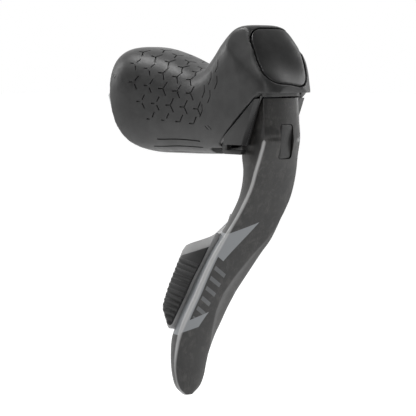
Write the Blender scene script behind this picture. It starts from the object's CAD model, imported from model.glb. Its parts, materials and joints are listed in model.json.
"""Looks of a right-hand brake and shift lever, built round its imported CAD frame.

Shapes are worked out in millimetres, in the CAD frame: +X forward, +Y inboard, +Z up,
with the origin at the centre of the handlebar clamp.
"""

import json
import math

import bmesh
import bpy
import numpy as np
from mathutils import Matrix, Vector
from mathutils.bvhtree import BVHTree


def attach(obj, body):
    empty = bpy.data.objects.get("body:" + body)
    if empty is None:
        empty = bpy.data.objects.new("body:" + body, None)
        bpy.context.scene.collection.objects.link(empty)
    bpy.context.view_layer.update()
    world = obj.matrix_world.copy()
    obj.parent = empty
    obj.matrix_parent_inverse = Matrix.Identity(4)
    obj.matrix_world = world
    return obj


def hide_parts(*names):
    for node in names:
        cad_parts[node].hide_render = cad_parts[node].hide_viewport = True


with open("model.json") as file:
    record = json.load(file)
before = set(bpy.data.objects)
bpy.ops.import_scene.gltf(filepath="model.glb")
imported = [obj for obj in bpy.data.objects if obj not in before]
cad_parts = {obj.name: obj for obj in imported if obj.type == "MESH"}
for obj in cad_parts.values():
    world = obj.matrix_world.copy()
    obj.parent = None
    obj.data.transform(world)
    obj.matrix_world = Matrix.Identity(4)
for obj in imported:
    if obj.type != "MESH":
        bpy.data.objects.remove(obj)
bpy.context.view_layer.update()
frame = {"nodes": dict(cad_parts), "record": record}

MM = 0.001


# ---------------------------------------------------------------- shared shapes


def catmull(rows, steps=12):
    """Rows between the given rows, on a smooth curve through them."""
    rows = np.array(rows, float)
    out = []
    for i in range(len(rows) - 1):
        a = rows[max(i - 1, 0)]
        b = rows[i]
        c = rows[i + 1]
        d = rows[min(i + 2, len(rows) - 1)]
        for k in range(steps):
            t = k / steps
            out.append(
                0.5
                * (
                    2 * b
                    + (c - a) * t
                    + (2 * a - 5 * b + 4 * c - d) * t * t
                    + (3 * b - a - 3 * c + d) * t**3
                )
            )
    out.append(rows[-1])
    return np.array(out)


def smoothstep(x, lo, hi):
    t = np.clip((np.asarray(x, float) - lo) / (hi - lo), 0, 1)
    return t * t * (3 - 2 * t)


def make_object(name, verts, faces, sharp=35):
    """A mesh object from points in millimetres."""
    mesh = bpy.data.meshes.new(name)
    mesh.from_pydata([tuple(v) for v in np.asarray(verts) * MM], [], faces)
    mesh.validate()
    obj = bpy.data.objects.new(name, mesh)
    bpy.context.scene.collection.objects.link(obj)
    fix_normals(obj)
    shade(obj, sharp)
    return obj


def fix_normals(obj):
    bm = bmesh.new()
    bm.from_mesh(obj.data)
    bmesh.ops.recalc_face_normals(bm, faces=bm.faces)
    bm.to_mesh(obj.data)
    bm.free()


def shade(obj, sharp=35):
    """Smooth shading, with edges sharper than the angle kept crisp."""
    obj.data.polygons.foreach_set("use_smooth", [True] * len(obj.data.polygons))
    obj.data.set_sharp_from_angle(angle=math.radians(sharp))
    obj.data.update()


def ring_faces(rings, points, closed=True, caps=True):
    """Quads between rings of points, and the end caps."""
    faces = []
    span = points if closed else points - 1
    for j in range(rings - 1):
        for i in range(span):
            a = j * points + i
            b = j * points + (i + 1) % points
            faces.append((a, b, b + points, a + points))
    if caps:
        faces.append(tuple(range(points - 1, -1, -1)))
        faces.append(tuple((rings - 1) * points + i for i in range(points)))
    return faces


def loft(name, rings, sharp=35):
    rings = np.asarray(rings)
    faces = ring_faces(len(rings), rings.shape[1])
    return make_object(name, rings.reshape(-1, 3), faces, sharp)


def prism(name, outline, y0, y1):
    """Prism with a side outline of (x, z) points, from y0 to y1."""
    rings = [[(x, y, z) for x, z in outline] for y in (y0, y1)]
    return loft(name, rings)


def rod(name, a, b, radius, sides=48):
    """Cylinder between two points."""
    a, b = Vector(a), Vector(b)
    axis = (b - a).normalized()
    side = axis.cross(Vector((0, 1, 0)) if abs(axis.y) < 0.9 else Vector((1, 0, 0))).normalized()
    other = axis.cross(side)
    rings = []
    for p in (a, b):
        rings.append(
            [
                p + radius * (math.cos(t) * side + math.sin(t) * other)
                for t in np.linspace(0, 2 * math.pi, sides, endpoint=False)
            ]
        )
    return loft(name, rings)


def apply_modifiers(obj):
    graph = bpy.context.evaluated_depsgraph_get()
    mesh = bpy.data.meshes.new_from_object(obj.evaluated_get(graph))
    old = obj.data
    obj.modifiers.clear()
    obj.data = mesh
    bpy.data.meshes.remove(old)


def cut(obj, *cutters, how="DIFFERENCE"):
    """Booleans the cutters into the object, then removes them."""
    for cutter in cutters:
        mod = obj.modifiers.new("cut", "BOOLEAN")
        mod.operation = how
        mod.solver = "MANIFOLD"
        mod.object = cutter
        apply_modifiers(obj)
        bpy.data.objects.remove(cutter)


def remesh(obj, voxel, rounds):
    """Even mesh with edges rounded by a few rounds of smoothing."""
    mod = obj.modifiers.new("remesh", "REMESH")
    mod.mode = "VOXEL"
    mod.voxel_size = voxel * MM
    apply_modifiers(obj)
    mod = obj.modifiers.new("smooth", "SMOOTH")
    mod.factor = 0.5
    mod.iterations = rounds
    apply_modifiers(obj)


def bevel(obj, width, segments=3, angle=28):
    """Rounds the object's edges, after joining flat triangles into whole faces."""
    bm = bmesh.new()
    bm.from_mesh(obj.data)
    bmesh.ops.remove_doubles(bm, verts=bm.verts, dist=1e-6)
    bmesh.ops.dissolve_limit(
        bm, angle_limit=math.radians(1), verts=bm.verts, edges=bm.edges
    )
    bm.to_mesh(obj.data)
    bm.free()
    mod = obj.modifiers.new("bevel", "BEVEL")
    mod.width = width * MM
    mod.segments = segments
    mod.limit_method = "ANGLE"
    mod.angle_limit = math.radians(angle)
    mod.use_clamp_overlap = True
    apply_modifiers(obj)
    shade(obj)


def dress(obj, material):
    obj.data.materials.clear()
    obj.data.materials.append(material)


# ---------------------------------------------------------------- camera and light

VIEW_AZIMUTH = math.radians(45)
VIEW_ELEVATION = math.radians(5)
VIEW_DISTANCE = 0.75
VIEW_TARGET = Vector((0.043, 0, -0.046))
VIEW_LENS = 150.6
WORLD_RANGE = (-0.2, 0.8, 0.18, 1.0)


def make_camera():
    back = Vector(
        (
            math.sin(VIEW_AZIMUTH) * math.cos(VIEW_ELEVATION),
            -math.cos(VIEW_AZIMUTH) * math.cos(VIEW_ELEVATION),
            math.sin(VIEW_ELEVATION),
        )
    )
    data = bpy.data.cameras.new("camera")
    data.lens = VIEW_LENS
    data.sensor_width = 36
    cam = bpy.data.objects.new("camera", data)
    cam.location = VIEW_TARGET + VIEW_DISTANCE * back
    cam.rotation_euler = (-back).to_track_quat("-Z", "Y").to_euler()
    bpy.context.scene.collection.objects.link(cam)
    bpy.context.scene.camera = cam


def area_light(name, place, target, size, power):
    data = bpy.data.lights.new(name, "AREA")
    data.shape = "RECTANGLE"
    data.size, data.size_y = size
    data.energy = power
    obj = bpy.data.objects.new(name, data)
    obj.location = place
    aim = Vector(target) - Vector(place)
    obj.rotation_euler = aim.to_track_quat("-Z", "Y").to_euler()
    bpy.context.scene.collection.objects.link(obj)


def make_world():
    """White studio, dimmer on the side that the camera stands on."""
    world = bpy.data.worlds.new("studio")
    bpy.context.scene.world = world
    world.use_nodes = True
    nodes, links = world.node_tree.nodes, world.node_tree.links
    background = nodes["Background"]
    background.inputs["Color"].default_value = (1, 1, 1, 1)
    coords = nodes.new("ShaderNodeTexCoord")
    facing = nodes.new("ShaderNodeVectorMath")
    facing.operation = "DOT_PRODUCT"
    facing.inputs[1].default_value = (-math.cos(VIEW_AZIMUTH), math.sin(VIEW_AZIMUTH), 0)
    spread = nodes.new("ShaderNodeMapRange")
    spread.interpolation_type = "SMOOTHSTEP"
    for key, value in zip(("From Min", "From Max", "To Min", "To Max"), WORLD_RANGE):
        spread.inputs[key].default_value = value
    links.new(coords.outputs["Generated"], facing.inputs[0])
    links.new(facing.outputs["Value"], spread.inputs["Value"])
    links.new(spread.outputs["Result"], background.inputs["Strength"])


def make_lights():
    bpy.context.scene.view_settings.view_transform = "Standard"
    centre = (0.04, 0, -0.02)
    area_light("top_box", (-0.1, -0.2, 0.6), centre, (0.35, 0.2), 2.6)
    area_light("rear_box", (-0.55, -0.3, 0.3), centre, (0.2, 0.4), 1.3)
    area_light("inboard_box", (0.3, 0.6, 0.2), centre, (0.12, 0.7), 1.5)
    area_light("front_strip", (0.85, -0.75, 0.15), centre, (0.08, 1.4), 2.5)


def make_floor():
    size = 6
    z = -0.16
    mesh = bpy.data.meshes.new("floor")
    corners = [(-size, -size, z), (size, -size, z), (size, size, z), (-size, size, z)]
    mesh.from_pydata(corners, [], [(0, 1, 2, 3)])
    floor = bpy.data.objects.new("floor", mesh)
    bpy.context.scene.collection.objects.link(floor)
    mat = bpy.data.materials.new("floor_paint")
    mat.use_nodes = True
    shader = mat.node_tree.nodes["Principled BSDF"]
    shader.inputs["Base Color"].default_value = (0.5, 0.5, 0.5, 1)
    shader.inputs["Roughness"].default_value = 0.9
    shader.inputs["Emission Color"].default_value = (1, 1, 1, 1)
    shader.inputs["Emission Strength"].default_value = 0.75
    dress(floor, mat)


# ---------------------------------------------------------------- materials


class Look:
    """A node material, built step by step."""

    def __init__(self, name, rough=0.5, metal=0.0, **sockets):
        self.mat = bpy.data.materials.new(name)
        self.mat.use_nodes = True
        self.tree = self.mat.node_tree
        self.shader = self.tree.nodes["Principled BSDF"]
        self.shader.inputs["Roughness"].default_value = rough
        self.shader.inputs["Metallic"].default_value = metal
        for key, value in sockets.items():
            self.shader.inputs[key.replace("_", " ")].default_value = value

    def node(self, kind, **values):
        made = self.tree.nodes.new(kind)
        for key, value in values.items():
            if key in made.inputs:
                made.inputs[key].default_value = value
            else:
                setattr(made, key, value)
        return made

    def link(self, a, b):
        self.tree.links.new(a, b)

    def place(self, scale=(1, 1, 1)):
        """Object coordinates in millimetres, stretched by scale."""
        coords = self.node("ShaderNodeTexCoord")
        mapping = self.node("ShaderNodeMapping")
        mapping.inputs["Scale"].default_value = [s / MM for s in scale]
        self.link(coords.outputs["Object"], mapping.inputs["Vector"])
        return mapping.outputs["Vector"]

    def noise(self, per_mm, detail=3.0, rough=0.5, stretch=(1, 1, 1), distort=0.0):
        made = self.node(
            "ShaderNodeTexNoise", Scale=per_mm, Detail=detail, Roughness=rough, Distortion=distort
        )
        self.link(self.place(stretch), made.inputs["Vector"])
        return made.outputs["Fac"]

    def ramp(self, value, stops):
        made = self.node("ShaderNodeValToRGB")
        elements = made.color_ramp.elements
        while len(elements) < len(stops):
            elements.new(0.5)
        for element, (at, colour) in zip(elements, stops):
            element.position = at
            element.color = (*colour, 1)
        self.link(value, made.inputs["Fac"])
        return made.outputs["Color"]

    def spread(self, value, lo, hi, out_lo, out_hi):
        made = self.node("ShaderNodeMapRange")
        for key, number in zip(("From Min", "From Max", "To Min", "To Max"), (lo, hi, out_lo, out_hi)):
            made.inputs[key].default_value = number
        self.link(value, made.inputs["Value"])
        return made.outputs["Result"]

    def mix(self, fac, a, b):
        made = self.node("ShaderNodeMix", data_type="RGBA")
        for socket, value in ((made.inputs[0], fac), (made.inputs[6], a), (made.inputs[7], b)):
            if isinstance(value, (tuple, list)):
                socket.default_value = (*value, 1)
            elif isinstance(value, float):
                socket.default_value = value
            else:
                self.link(value, socket)
        return made.outputs[2]

    def colour(self, value):
        self.link(value, self.shader.inputs["Base Color"])

    def roughness(self, value):
        self.link(value, self.shader.inputs["Roughness"])

    def bump(self, height, strength, distance):
        made = self.node("ShaderNodeBump", Strength=strength, Distance=distance * MM)
        self.link(height, made.inputs["Height"])
        self.link(made.outputs["Normal"], self.shader.inputs["Normal"])


def grey(v, warm=0.0):
    return (v * (1 + warm), v, v * (1 - warm))


def moulded(name, value, rough, grain=2.2, bump=0.03, warm=0.0, vary=0.15):
    """Moulded rubber or plastic: fine grain, cloudy colour and a worn sheen."""
    look = Look(name, rough)
    cloud = look.noise(0.12, 4, 0.6)
    dark = grey(value * (1 - vary), warm)
    light = grey(value * (1 + vary), warm)
    look.colour(look.ramp(cloud, [(0.3, dark), (0.7, light)]))
    sheen = look.noise(0.5, 4, 0.6)
    look.roughness(look.spread(sheen, 0.3, 0.7, rough - 0.06, rough + 0.06))
    look.bump(look.noise(grain, 3, 0.6), 0.4, bump)
    return look.mat


def metal(name, colour, rough, brush=(1, 1, 1)):
    """Brushed or turned metal, streaked along one axis."""
    look = Look(name, rough, 1.0)
    streak = look.noise(0.6, 4, 0.6, brush)
    dark = tuple(c * 0.8 for c in colour)
    look.colour(look.ramp(streak, [(0.3, dark), (0.7, colour)]))
    look.roughness(look.spread(streak, 0.3, 0.7, rough - 0.06, rough + 0.08))
    look.bump(look.noise(3.0, 2, 0.5, brush), 0.15, 0.02)
    return look.mat


DECAL_GREY = (0.19, 0.2, 0.21)
BAR_STRENGTH = 0.4
EDGE_GREY = (0.42, 0.42, 0.42)
EDGE_SHINE = 0.75


def half_plane(look, u, z, a, b, c):
    """1 where a*u + b*z > c, 0 elsewhere, with an edge a tenth of a millimetre wide."""
    first = look.node("ShaderNodeMath", operation="MULTIPLY_ADD")
    first.inputs[1].default_value = b
    first.inputs[2].default_value = -c
    look.link(z, first.inputs[0])
    second = look.node("ShaderNodeMath", operation="MULTIPLY_ADD")
    second.inputs[1].default_value = a
    look.link(u, second.inputs[0])
    look.link(first.outputs[0], second.inputs[2])
    return look.spread(second.outputs[0], -0.05, 0.05, 0, 1)


def combine(look, how, *masks):
    """The masks joined by a math operation, such as MINIMUM for where all hold."""
    value = masks[0]
    for mask in masks[1:]:
        made = look.node("ShaderNodeMath", operation=how)
        look.link(value, made.inputs[0])
        look.link(mask, made.inputs[1])
        value = made.outputs[0]
    return value


def decal_mask(look):
    """Plain grey blocks and slanted bars along the blade's outboard edge."""
    attribute = look.node("ShaderNodeAttribute")
    attribute.attribute_name = "ridge_mm"
    u = attribute.outputs["Fac"]
    axes = look.node("ShaderNodeSeparateXYZ")
    look.link(look.place(), axes.inputs[0])
    z = axes.outputs["Z"]

    def inside(*planes):
        return combine(look, "MINIMUM", *[half_plane(look, u, z, *p) for p in planes])

    side = inside((-1, 0, 0.0), (-0.5, -1, 54.5), (0.5, 1, -98.0))
    strip = inside((1, 0, 0), (-1, 0, -2.2), (0.42, -1, 54.5), (-0.3, 1, -96.6))
    block = inside((1, 0, 0), (0.42, -1, 54.5), (-1, 0.38, -30.5), (0.62, 1, -62.5))
    foot = inside((1, 0, 0), (-1, 0.3, -36.0), (0.42, -1, 92.0), (-0.3, 1, -96.6))
    # Equal bars, slanted like the blocks' ends
    slant = look.node("ShaderNodeMath", operation="MULTIPLY_ADD")
    slant.inputs[1].default_value = 0.62
    look.link(u, slant.inputs[0])
    look.link(z, slant.inputs[2])
    step = look.node("ShaderNodeMath", operation="PINGPONG")
    step.inputs[1].default_value = 2.15
    look.link(slant.outputs[0], step.inputs[0])
    bar = look.spread(step.outputs[0], 1.28, 1.38, 0, 1)
    field = inside((1, 0, 3.1), (-1, 0.08, -15.2), (-0.62, -1, 65.5), (0.42, 1, -88.6))
    bars = combine(look, "MINIMUM", bar, field)
    solid = combine(look, "MAXIMUM", side, strip, block, foot)
    faded = look.spread(bars, 0, 1, 0, BAR_STRENGTH)
    return combine(look, "MAXIMUM", solid, faded)


def carbon():
    """Mottled carbon under a clear coat, with the grey blocks printed on it."""
    look = Look("blade_carbon", 0.42, Specular_IOR_Level=0.35, Coat_Weight=0.4, Coat_Roughness=0.12)
    chip = look.node("ShaderNodeTexVoronoi", Scale=0.55, Randomness=1.0)
    look.link(look.place((1, 1, 0.45)), chip.inputs["Vector"])
    tone = look.node("ShaderNodeRGBToBW")
    look.link(chip.outputs["Color"], tone.inputs[0])
    cloud = look.noise(0.22, 4, 0.65, distort=0.6)
    fibre = look.noise(1.3, 5, 0.7, (1.6, 1.6, 0.5), 0.4)
    cloudy = look.spread(cloud, 0.3, 0.7, 0, 0.5)
    blend = combine(look, "ADD", cloudy, look.spread(fibre, 0.3, 0.7, 0, 0.3))
    mottled = combine(look, "ADD", blend, look.spread(tone.outputs[0], 0.2, 0.8, 0, 0.2))
    base = look.ramp(
        mottled,
        [(0.15, (0.004, 0.0038, 0.0036)), (0.5, (0.011, 0.0103, 0.0097)), (0.85, (0.035, 0.033, 0.031))],
    )
    mask = decal_mask(look)
    printed = look.mix(mask, base, DECAL_GREY)
    edge = look.node("ShaderNodeAttribute")
    edge.attribute_name = "edge_mm"
    polished = look.spread(edge.outputs["Fac"], 0.35, 1.2, EDGE_SHINE, 0)
    look.colour(look.mix(polished, printed, EDGE_GREY))
    look.roughness(look.spread(mottled, 0, 1, 0.36, 0.5))
    look.bump(fibre, 0.1, 0.02)
    return look.mat


def circuit_green():
    """Green circuit board with fine lines."""
    look = Look("board_green", 0.35)
    trace = look.node("ShaderNodeTexBrick", Scale=0.5)
    trace.inputs["Color1"].default_value = (0.01, 0.11, 0.04, 1)
    trace.inputs["Color2"].default_value = (0.015, 0.14, 0.05, 1)
    trace.inputs["Mortar"].default_value = (0.3, 0.25, 0.1, 1)
    trace.inputs["Mortar Size"].default_value = 0.03
    look.link(look.place(), trace.inputs["Vector"])
    look.colour(trace.outputs["Color"])
    look.bump(look.noise(2, 2), 0.2, 0.02)
    return look.mat


def make_materials():
    return {
        "hood_rubber": moulded("hood_rubber", 0.02, 0.4, bump=0.03, vary=0.4),
        "cap_rubber": moulded("cap_rubber", 0.011, 0.36, bump=0.02, vary=0.5),
        "body_plastic": moulded("body_plastic", 0.012, 0.36, bump=0.03),
        "blade_composite": carbon(),
        "paddle_plastic": moulded("paddle_plastic", 0.3, 0.34, bump=0.015),
        "pad_plastic": moulded("pad_plastic", 0.012, 0.42, bump=0.02),
        "black_rubber": moulded("black_rubber", 0.008, 0.5),
        "black_plastic": moulded("black_plastic", 0.02, 0.42),
        "steel": metal("steel", (0.5, 0.51, 0.52), 0.3, (1, 1, 6)),
        "dark_steel": metal("dark_steel", (0.13, 0.13, 0.14), 0.35),
        "alloy": metal("alloy", (0.22, 0.23, 0.24), 0.38),
        "bronze": metal("bronze", (0.55, 0.36, 0.15), 0.35),
        "piston_alloy": metal("piston_alloy", (0.5, 0.42, 0.27), 0.3),
        "board_green": circuit_green(),
        "light_lens": moulded("light_lens", 0.5, 0.12, vary=0.05),
    }


# ---------------------------------------------------------------- frames of the object

BAR_RADIUS = 12
BAR_TILT = math.radians(20)
CAP_AT = (84.8, 0, 19.1)
CAP_SLOPE = math.radians(55)
HEAD_TURN = math.radians(14)
PADDLE_AT = (75.3, -2, -38)
PADDLE_TILT = math.radians(23.6)
PADDLE_LEAN = math.radians(-12)
BUTTON_AT = (58.4, 4)
LIGHT_AT = (50, 4)

BAR_FRAME = Matrix.Rotation(-BAR_TILT, 4, "Y")
CAP_FRAME = (
    Matrix.Translation(CAP_AT) @ Matrix.Rotation(-HEAD_TURN, 4, "Z") @ Matrix.Rotation(CAP_SLOPE, 4, "Y")
)
PADDLE_FRAME = (
    Matrix.Translation(PADDLE_AT)
    @ Matrix.Rotation(PADDLE_TILT, 4, "Y")
    @ Matrix.Translation((0, -13.5, -19))
    @ Matrix.Rotation(PADDLE_LEAN, 4, "X")
    @ Matrix.Translation((0, 0, 19))
)


def moved(obj, matrix):
    """Moves the object's mesh by a matrix in millimetres."""
    scale = Matrix.Scale(MM, 4)
    obj.data.transform(scale @ matrix @ scale.inverted())
    return obj


# ---------------------------------------------------------------- hood

# Sections along X: [x, top, bottom, half width, top squareness, bottom squareness]
HOOD_ROWS = catmull(
    [
        [0, 21.2, -22.5, 19.4, 2.7, 2.6],
        [4, 22.9, -23, 20.7, 2.8, 2.7],
        [9, 23.3, -23, 21, 2.8, 2.8],
        [15, 22.9, -22.9, 20.2, 2.6, 2.9],
        [22, 21.7, -22.8, 18.8, 2.4, 2.9],
        [30, 19.5, -22.7, 17.5, 2.4, 3],
        [38, 16.5, -22.6, 16.5, 2.5, 3],
        [46, 14, -22.4, 15.9, 2.7, 3.2],
        [52, 15.8, -22.2, 15.7, 3, 3.4],
        [58, 21.4, -21.9, 15.7, 3.4, 3.5],
        [63, 27, -21.6, 15.8, 3.8, 3.5],
        [68, 31.2, -21.4, 15.8, 4, 3.5],
        [73, 32.1, -21.3, 15.8, 4, 3.5],
        [77, 31.2, -21.2, 15.8, 4, 3.5],
        [81, 26.6, -21, 15.6, 4, 3.5],
        [85, 19.9, -21, 15.3, 4, 3.5],
        [88.5, 14.2, -21, 14.4, 4, 3.5],
        [91, 10.2, -21, 12, 3.6, 3.5],
        [92.6, 7.4, -21, 8.6, 3, 3.5],
    ]
)
HOOD_REAR = [
    (-20, 40), (1.9, 40), (1.9, 8), (2.4, 1.5), (4, -4.6), (6, -10),
    (8.4, -14.6), (11, -18), (14.5, -20.4), (20, -22.6), (20, -40), (-20, -40),
]
HOOD_THICKNESS = 2.4
SKIN_INSET = 0.06
CUT_TOP = (86.3, 4.2)
CUT_LOW = (62.8, -17.1)
BEVEL_NORMAL = (0.293, 0.864, 0.408)
OUTBOARD_BEVEL_AT = (81.8, -15.5, 11.7)
INBOARD_BEVEL_AT = (88, 15.5, 12)


def hood_value(x, k):
    return np.interp(x, HOOD_ROWS[:, 0], HOOD_ROWS[:, k])


def soft_cut(points, place, normal, radius):
    """Presses points that lie past a plane back onto it, with a soft edge."""
    normal = np.array(normal, float)
    normal /= np.linalg.norm(normal)
    past = (points - np.array(place)) @ normal
    press = radius * np.logaddexp(0, past / radius)
    return points - press[:, None] * normal


def hood_ring(x, inset, sides):
    top = min(hood_value(x - inset, 1), hood_value(x, 1), hood_value(x + inset, 1))
    top -= 0.85 * inset + SKIN_INSET
    bottom = hood_value(x, 2) + inset
    half = min(hood_value(x, 3), hood_value(x + inset, 3)) - inset - SKIN_INSET
    angle = np.linspace(0, 2 * math.pi, sides, endpoint=False)
    c, s = np.cos(angle), np.sin(angle)
    upper = s >= 0
    power = 2 / np.where(upper, hood_value(x, 4), hood_value(x, 5))
    y = half * np.sign(c) * np.abs(c) ** power
    z = np.where(upper, top, -bottom) * np.sign(s) * np.abs(s) ** power
    turn = math.tan(HEAD_TURN) * smoothstep(x, 66, 80) * smoothstep(z, 7, 20)
    ring = np.stack([x + turn * y, y, z], 1)
    for place in (OUTBOARD_BEVEL_AT, INBOARD_BEVEL_AT):
        side = math.copysign(1, place[1])
        normal = np.array((BEVEL_NORMAL[0], side * BEVEL_NORMAL[1], BEVEL_NORMAL[2]))
        ring = soft_cut(ring, np.array(place) - inset * normal, normal, 0.3)
    return ring


def hood_form(name, inset, x0, x1, count, sides):
    return loft(name, [hood_ring(x, inset, sides) for x in np.linspace(x0, x1, count)])


def rounded_outline(length, width, radius, arc=10):
    points = []
    for quarter, (sx, sy) in enumerate(((1, 1), (-1, 1), (-1, -1), (1, -1))):
        for t in np.linspace(0, math.pi / 2, arc):
            a = quarter * math.pi / 2 + t
            points.append(
                (
                    sx * (length / 2 - radius) + radius * math.cos(a),
                    sy * (width / 2 - radius) + radius * math.sin(a),
                )
            )
    return points


def cap_prism(gap, z0, z1):
    outline = rounded_outline(27 + 2 * gap, 22.4 + 2 * gap, 6.5 + gap)
    rings = [[(x, y, z) for x, y in outline] for z in (z0, z1)]
    return moved(loft("cap_prism", rings), CAP_FRAME)


def port_rod(radius, start, end):
    inward = Vector((math.cos(math.radians(8)), math.sin(math.radians(8)), 0))
    mouth = Vector((17.5, -13, -6))
    return rod("port", mouth + start * inward, mouth + end * inward, radius)


# Directions and lengths of a mark's three arms, and the gap at its centre near the rear
ARMS = (180, 60, -60)
ARM_LENGTHS = (2.6, 3.4, 3.4)
ARM_GAP = 0.85
MARK_PITCH = 7.8
# Rows of marks: (first x, marks, angle above level at x = 24), and the angle's change per mm of x
MARK_ROWS = [
    (20.6, 4, 78), (14.4, 5, 59), (15, 5, 41),
    (17, 5, 20.5), (21.3, 5, -1.5), (26.5, 4, -22.5),
]
ROW_SLOPE = -0.3
# Bends of the long strokes where the horn rises: (x, z)
STROKES = [(64, 15.3), (64, 8.4), (60.2, 10.2), (56.5, 4.6), (59.9, 2.6), (55.2, -3.4)]
# Paired slashes: (x, z, lean of x per step)
SLASHES = ((4.6, 10.6, 1.0), (6.2, 10.4, 1.0), (57.4, -10.6, -1.4), (59.2, -10.4, -1.4))
# Long grooves low on the side: [start x, end x, start angle, end angle]
LOW_GROOVES = [(27.4, 52, -47, -50), (23, 52, -56.6, -58), (19.5, 56, -68, -71)]
GROOVE_WIDTH = 0.62
GROOVE_DEPTH = 0.55


def surface_point(tree, x, angle, side):
    """Where a ray from the hood's axis, at an angle above level, meets its skin."""
    a = math.radians(angle)
    ray = Vector((0, side * math.cos(a), math.sin(a)))
    hit = tree.ray_cast(Vector((x, 0, 0)) * MM, ray)
    return hit[0] / MM, hit[1]


def side_point(tree, x, z, side):
    """Where a level ray sideways from (x, z) meets the hood's skin."""
    hit = tree.ray_cast(Vector((x, 0, z)) * MM, Vector((0, side, 0)))
    return hit[0] / MM, hit[1]


def trough(tree, points, width=GROOVE_WIDTH, depth=GROOVE_DEPTH):
    """Cutter that follows the hood's skin along some points."""
    rings = []
    near = [tree.find_nearest(Vector(p) * MM) for p in points]
    spots = [n[0] / MM for n in near]
    for i, spot in enumerate(spots):
        normal = near[i][1]
        along = spots[min(i + 1, len(spots) - 1)] - spots[max(i - 1, 0)]
        across = normal.cross(along).normalized()
        low = spot - depth * normal
        high = spot + 0.5 * normal
        floor_half = 0.22 * width * across
        mouth_half = 0.72 * width * across
        rings.append([low - floor_half, low + floor_half, high + mouth_half, high - mouth_half])
    return rings


def troughs_object(name, strips):
    """One mesh of many separate troughs."""
    verts, faces = [], []
    for rings in strips:
        base = len(verts)
        for ring in rings:
            verts.extend(ring)
        for face in ring_faces(len(rings), 4):
            faces.append(tuple(base + i for i in face))
    return make_object(name, [tuple(v) for v in verts], faces)


def mark_strips(tree, side):
    """Troughs of the three-armed marks, one list for each arm so that none overlap."""
    groups = [[], [], []]
    for row, (first, count, angle) in enumerate(MARK_ROWS):
        for i in range(count):
            x = first + MARK_PITCH * i
            spot, normal = surface_point(tree, x, angle + ROW_SLOPE * (x - 24), side)
            forward = (Vector((1, 0, 0)) - normal.x * normal).normalized()
            up = normal.cross(forward) * -side
            gap = ARM_GAP if i < 2 and row > 1 else 0.0
            last = row == len(MARK_ROWS) - 1
            for arm, turn in enumerate(ARMS):
                if last and arm == 2:
                    continue
                a = math.radians(turn)
                way = math.cos(a) * forward + math.sin(a) * up
                length = ARM_LENGTHS[arm]
                steps = np.linspace(gap, length, 5)
                groups[arm].append(trough(tree, [spot + float(t) * way for t in steps]))
    return groups


def stroke_strips(tree, side):
    """Troughs of the bent strokes, the paired slashes and the long low grooves."""
    strips = []
    for x, z in STROKES:
        ends = ((x - 0.2, z + 2.6), (x, z), (x - 1.5, z - 2.8))
        points = []
        for (x0, z0), (x1, z1) in zip(ends, ends[1:]):
            for t in (0, 0.5):
                points.append(side_point(tree, x0 + t * (x1 - x0), z0 + t * (z1 - z0), side)[0])
        points.append(side_point(tree, *ends[-1], side)[0])
        strips.append(trough(tree, points, 0.5, 0.4))
    for x, z, lean in SLASHES:
        points = [side_point(tree, x + lean * t, z + 1.2 * t, side)[0] for t in (-0.7, 0, 0.7)]
        strips.append(trough(tree, points, 0.4, 0.3))
    for x0, x1, a0, a1 in LOW_GROOVES:
        points = [
            surface_point(tree, x0 + t * (x1 - x0), a0 + t * (a1 - a0), side)[0]
            for t in np.linspace(0, 1, 18)
        ]
        strips.append(trough(tree, points, 0.7, 0.5))
    return strips


def make_hood():
    """Rubber hood: a shell with its openings cut, then its moulded marks."""
    hood = hood_form("hood_outer", 0, 0, 92.6, 200, 180)
    tree = BVHTree.FromObject(hood, bpy.context.evaluated_depsgraph_get())
    hood.name = "hood"
    slope = prism(
        "slope", [CUT_LOW, CUT_TOP, (100, 4.2), (100, -40), (64, -40), (64, -18.9)], -30, 30
    )
    notch = prism("notch", [(56, -40), (56, -14), (96, -14), (96, -40)], -11.6, 11.6)
    bar = moved(rod("bar", (0, 0, -45), (0, 0, 15), BAR_RADIUS + 1.2), BAR_FRAME)
    cut(
        hood,
        hood_form("hood_inner", HOOD_THICKNESS, -2, 90.2, 110, 120),
        prism("rear", HOOD_REAR, -30, 30),
        bar,
        slope,
        notch,
        cap_prism(0.45, -7, 20),
        rod("button_hole", (BUTTON_AT[0], 5, BUTTON_AT[1]), (BUTTON_AT[0], 30, BUTTON_AT[1]), 3.2),
        rod("light_hole", (LIGHT_AT[0], 5, LIGHT_AT[1]), (LIGHT_AT[0], 30, LIGHT_AT[1]), 1.5),
        port_rod(2.6, -30, 0),
        port_rod(3.6, -0.1, 13),
    )
    remesh(hood, 0.42, 3)
    for side in (-1, 1):
        for strips in mark_strips(tree, side) + [stroke_strips(tree, side)]:
            cut(hood, troughs_object("marks", strips))
    shade(hood, 40)
    return hood


def make_cap():
    """Domed cap that sits in a groove in the horn's head."""
    cap = hood_form("pommel_cap_skin", 0.1, 60, 92.5, 120, 160)
    cut(cap, hood_form("cap_inner", HOOD_THICKNESS, 58, 90.2, 80, 100))
    cut(cap, cap_prism(-0.1, -7, 20), how="INTERSECT")
    remesh(cap, 0.3, 9)
    shade(cap, 60)
    return cap


# ---------------------------------------------------------------- blade

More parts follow.
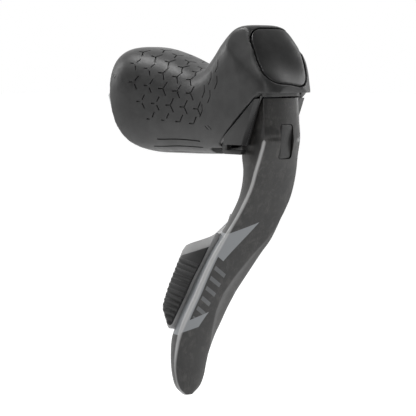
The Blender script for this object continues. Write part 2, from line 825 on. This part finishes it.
# Sections down the blade: [z, front x, centre y, width, twist, depth]
BLADE_ROWS = catmull(
    [
        [2, 85.6, 0, 20.8, 1, 12],
        [-8, 86, 0, 21, 1.5, 12.5],
        [-15, 86.3, 0, 21, 2.5, 13.2],
        [-22, 84.8, -0.3, 21.4, 4.5, 11.8],
        [-28, 83.1, -0.2, 22.2, 7, 8.8],
        [-34, 81.6, -0.5, 22.4, 9, 7.4],
        [-40, 79.6, -1.3, 22.6, 12, 6.4],
        [-46, 77.2, -2.8, 22.4, 15, 6.4],
        [-52, 74.6, -4.4, 22.8, 19, 6.2],
        [-58, 71.8, -6.2, 23.2, 22, 5.8],
        [-64, 68.7, -8.3, 22.6, 22, 6],
        [-73, 64.3, -10.5, 21.8, 19, 6.8],
        [-80, 61.1, -12.2, 20.8, 17, 7],
        [-87, 57.9, -13.8, 20.6, 15, 6.4],
        [-94, 55.1, -15.4, 20.4, 13, 6],
        [-100, 53.2, -16.9, 19.2, 11, 5.8],
        [-109, 51.5, -18.5, 17.2, 8, 3.9],
        [-116, 51.1, -18.8, 15.2, 6, 3.2],
        [-120.5, 51, -19, 11.2, 6, 3],
        [-123.6, 50.9, -19.3, 4, 6, 2.6],
    ],
    10,
)
FRONT_WALL = 2.3
SIDE_WALL = 1.5
# Share of the width that the inboard facet takes, against z
FACET_Z = [-110, -104, -100, -94, -88, -80, -73, -64, -52, -46]
FACET_SHARE = [0, 0.06, 0.14, 0.27, 0.36, 0.4, 0.34, 0.22, 0.05, 0]
RIDGE_Z = [-124, -112, -100, -90, -70, -55, -48, 0]
RIDGE_RADIUS = [0.7, 1.0, 1.7, 2.0, 1.8, 1.2, 0.55, 0.45]


def fillet(points, radii, steps):
    """Outline with each corner rounded by its own radius."""
    out = []
    count = len(points)
    for i, (p, radius, step) in enumerate(zip(points, radii, steps)):
        before = np.array(points[i - 1])
        after = np.array(points[(i + 1) % count])
        p = np.array(p)
        a = before - p
        b = after - p
        reach = min(radius, 0.48 * np.linalg.norm(a), 0.48 * np.linalg.norm(b))
        start = p + a / np.linalg.norm(a) * reach
        end = p + b / np.linalg.norm(b) * reach
        for t in np.linspace(0, 1, step):
            out.append((1 - t) ** 2 * start + 2 * t * (1 - t) * p + t * t * end)
    return np.array(out)


def blade_section(row):
    """Outline of the blade across its length: (forward, inboard) points from its centre."""
    z, _, _, width, _, depth = row
    half = width / 2 - 0.03
    front = min(FRONT_WALL, depth - 0.6)
    side = min(SIDE_WALL, half - 0.6)
    crown = 0.9 * min(width / 20, 1)
    share = np.interp(z, FACET_Z, FACET_SHARE)
    drop = 7.5 * share
    edge = -half + width * (1 - share)
    lift = 0.35 * smoothstep(-z, 14.6, 15.4)
    ridge = np.interp(z, RIDGE_Z, RIDGE_RADIUS)

    def face(y):
        bulge = crown * (1 - (y / half) ** 2)
        return bulge + lift * (1 - (y / half) ** 4)

    span = np.linspace(-half + 1.2, edge - 0.8, 13)
    corners = [(-depth, -half + 0.5), (-depth * 0.5, -half + 0.1), (face(-half) - 0.15, -half)]
    radii = [0.35, 0.8, ridge]
    steps = [3, 3, 7]
    for y in span:
        corners.append((face(y), y))
        radii.append(0.3)
        steps.append(1)
    corners.append((face(edge) - 0.05, edge))
    radii.append(0.5)
    steps.append(4)
    # The facet is hollowed a little between its two edges
    low = min(drop, depth - 1.2)
    for t in (0.25, 0.5, 0.75):
        sag = 0.5 * share / 0.4 * math.sin(math.pi * t)
        corners.append((face(edge) - low * t - sag, edge + (half - 0.3 - edge) * t))
        radii.append(0.3)
        steps.append(1)
    corners.append((min(face(half), face(edge) - low) - 0.35, half - 0.15))
    radii.append(0.6)
    steps.append(5)
    corners += [(-depth, half - 0.5), (-depth, half - side - 0.3), (-front - low * 0.6, half - side - 0.5)]
    radii += [0.35, 0.35, 1.0]
    steps += [3, 3, 4]
    corners += [(-front, (edge - half) / 4), (-front, -half + side + 0.5), (-depth, -half + side + 0.3)]
    radii += [1.0, 1.0, 0.35]
    steps += [3, 4, 3]
    return fillet(corners, radii, steps)


def make_blade():
    """Blade lofted through its sections, with a pocket for the reach plug."""
    rings = []
    for row in BLADE_ROWS:
        section = blade_section(row)
        c, s = math.cos(math.radians(row[4])), math.sin(math.radians(row[4]))
        x = row[1] + section[:, 0] * c + section[:, 1] * s
        y = row[2] - section[:, 0] * s + section[:, 1] * c
        rings.append(np.stack([x, y, np.full(len(x), row[0])], 1))
    blade = loft("brake_blade_shell", rings, 32)
    cut(blade, plug_block("plug_pocket", 0.14, 82.5, 2.0))
    shade(blade, 32)
    mark_ridge(blade)
    return blade


def mark_ridge(blade):
    """Stores each point's distance from the outboard ridge, across the front and in all."""
    count = len(blade.data.vertices)
    co = np.zeros(count * 3)
    blade.data.vertices.foreach_get("co", co)
    x, y, z = co.reshape(-1, 3).T / MM
    order = np.argsort(BLADE_ROWS[:, 0])
    rows = BLADE_ROWS[order]
    front, centre, width, twist, depth = (np.interp(z, rows[:, 0], rows[:, k]) for k in range(1, 6))
    c, s = np.cos(np.radians(twist)), np.sin(np.radians(twist))
    inward = (x - front) * c - (y - centre) * s
    across = (x - front) * s + (y - centre) * c + width / 2
    outside = (inward > -1.9) & (across > 0.35)
    layer = blade.data.attributes.new("ridge_mm", "FLOAT", "POINT")
    layer.data.foreach_set("value", np.where(outside, across, -1.0).astype(np.float32))
    away = np.hypot(inward + 0.15, across - 0.1) - np.interp(z, [-100, -90, -60, -50], [0, 0.7, 0.7, 0])
    away += 9 * smoothstep(z, -16, -10) + 0.5 * smoothstep(-z, 100, 116)
    layer = blade.data.attributes.new("edge_mm", "FLOAT", "POINT")
    layer.data.foreach_set("value", away.astype(np.float32))


def front_line(z):
    """X of the blade's front face near its middle, at a height."""
    rows = BLADE_ROWS[np.argsort(BLADE_ROWS[:, 0])]
    return np.interp(z, rows[:, 0], rows[:, 1]) + 0.88 + 0.35 * smoothstep(-z, 14.6, 15.4)


def plug_block(name, gap, back, proud):
    """Block of the reach plug's outline whose face follows the blade's front."""
    outline = rounded_outline(14.2 + 2 * gap, 7.4 + 2 * gap, 1.5, 8)
    face = [(0.0, 0.0), (0.12, 0.18), (0.18, 0.5)] if gap == 0 else [(0.0, 0.0)]
    rings = [[(back, 2 + w, -16 + v) for v, w in outline]]
    for rise, shrink in face:
        ring = []
        for v, w in outline:
            z = -16 + v * (1 - shrink / 7)
            ring.append((front_line(z) + proud + rise - 0.06 * (w + 2), 2 + w * (1 - shrink / 3.7), z))
        rings.append(ring)
    return loft(name, rings, 50)


def make_reach_plug():
    """Rubber plug flush with the blade's upper front."""
    return plug_block("reach_plug_face", 0, 85.15, -0.12)


# ---------------------------------------------------------------- cheeks and rim

def copy_of(node, name, width=0.25, segments=3):
    """A CAD node's mesh as a new piece, with its edges rounded."""
    obj = bpy.data.objects.new(name, frame["nodes"][node].data.copy())
    bpy.context.scene.collection.objects.link(obj)
    obj.data.materials.clear()
    bevel(obj, width, segments)
    return obj


def make_cheeks():
    """Both side plates, with their edges rounded."""
    return copy_of("side_plates", "side_plate_pair", 0.3, 3)


# ---------------------------------------------------------------- paddle pad

PAD_OUTLINE = [
    (-4.6, -26.4), (-15.4, -36.2), (-15.3, -39), (-14.3, -50), (-13.2, -56), (-12.3, -59.3),
    (-11.2, -60.5), (-6, -64.2), (-5, -64.4), (-4.4, -63.4),
]


def inset_prism(name, outline, y0, y1, shrink):
    """Prism whose far face is shrunk toward its middle."""
    centre = np.mean(outline, 0)
    inner = [tuple(centre + (np.array(p) - centre) * shrink) for p in outline]
    layers = ((outline, y0), (outline, (y0 + y1) / 2), (inner, y1))
    rings = [[(x, y, z) for x, z in ring] for ring, y in layers]
    return loft(name, rings)


def make_pad(blade):
    """Ribbed pad: a plate with slanting ribs, cut clear of the swinging blade."""
    pad = inset_prism("paddle_pad_ribbed", PAD_OUTLINE, 0, -0.75, 0.985)
    ribs = []
    for k in range(13):
        z = -62.5 + 2.35 * k
        ribs.append(
            [(-20, z - 5.2), (-20, z - 4.1), (-3.4, z - 0.2), (-3.4, z - 1.3)]
        )
    field = loft("rib_field", [[(x, y, z) for x, z in PAD_OUTLINE] for y in (0, -1.3)])
    for outline in ribs:
        rib = loft("rib", [[(x, y, z) for x, z in outline] for y in (-0.3, -1.25)])
        cut(rib, duplicate(field), how="INTERSECT")
        if len(rib.data.polygons):
            cut(pad, rib, how="UNION")
        else:
            bpy.data.objects.remove(rib)
    bpy.data.objects.remove(field)
    bevel(pad, 0.16, 2, 35)
    moved(pad, PADDLE_FRAME)
    for swing in (1.5, 3.5, 5.6):
        cut(pad, moved(duplicate(blade), about_paddle_pin(-swing)))
    shade(pad)
    return pad


def about_paddle_pin(degrees):
    """Turn about the paddle's pin, which runs along the paddle frame's X."""
    frame_at = Matrix.Translation(PADDLE_AT) @ Matrix.Rotation(PADDLE_TILT, 4, "Y")
    return frame_at @ Matrix.Rotation(math.radians(degrees), 4, "X") @ frame_at.inverted()


def duplicate(obj):
    twin = bpy.data.objects.new(obj.name, obj.data.copy())
    bpy.context.scene.collection.objects.link(twin)
    return twin


# ---------------------------------------------------------------- the whole scene


def add(piece, body, slot, *nodes):
    """Puts a piece on its body, in place of its CAD nodes, with its slot's material."""
    dress(piece, materials[slot])
    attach(piece, body)
    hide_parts(*nodes)


def dress_nodes():
    """Gives every CAD node that stays its slot's material."""
    for row in frame["record"]["subparts"]:
        for slot in frame["nodes"][row["node"]].material_slots:
            slot.material = materials[row["material_slot"]]


make_camera()
make_world()
make_lights()
make_floor()
materials = make_materials()
dress_nodes()
add(make_hood(), "body", "hood_rubber", "hood_cover")
add(make_cap(), "body", "cap_rubber", "pommel_cap")
blade = make_blade()
add(blade, "blade", "blade_composite", "brake_blade")
add(make_reach_plug(), "blade", "black_rubber", "reach_plug")
add(make_cheeks(), "body", "body_plastic", "side_plates")
add(copy_of("front_rim", "front_rim_edge", 0.3), "body", "body_plastic", "front_rim")
add(copy_of("paddle", "paddle_shell", 0.5, 4), "paddle", "paddle_plastic", "paddle")
add(make_pad(blade), "paddle", "pad_plastic", "paddle_pad")
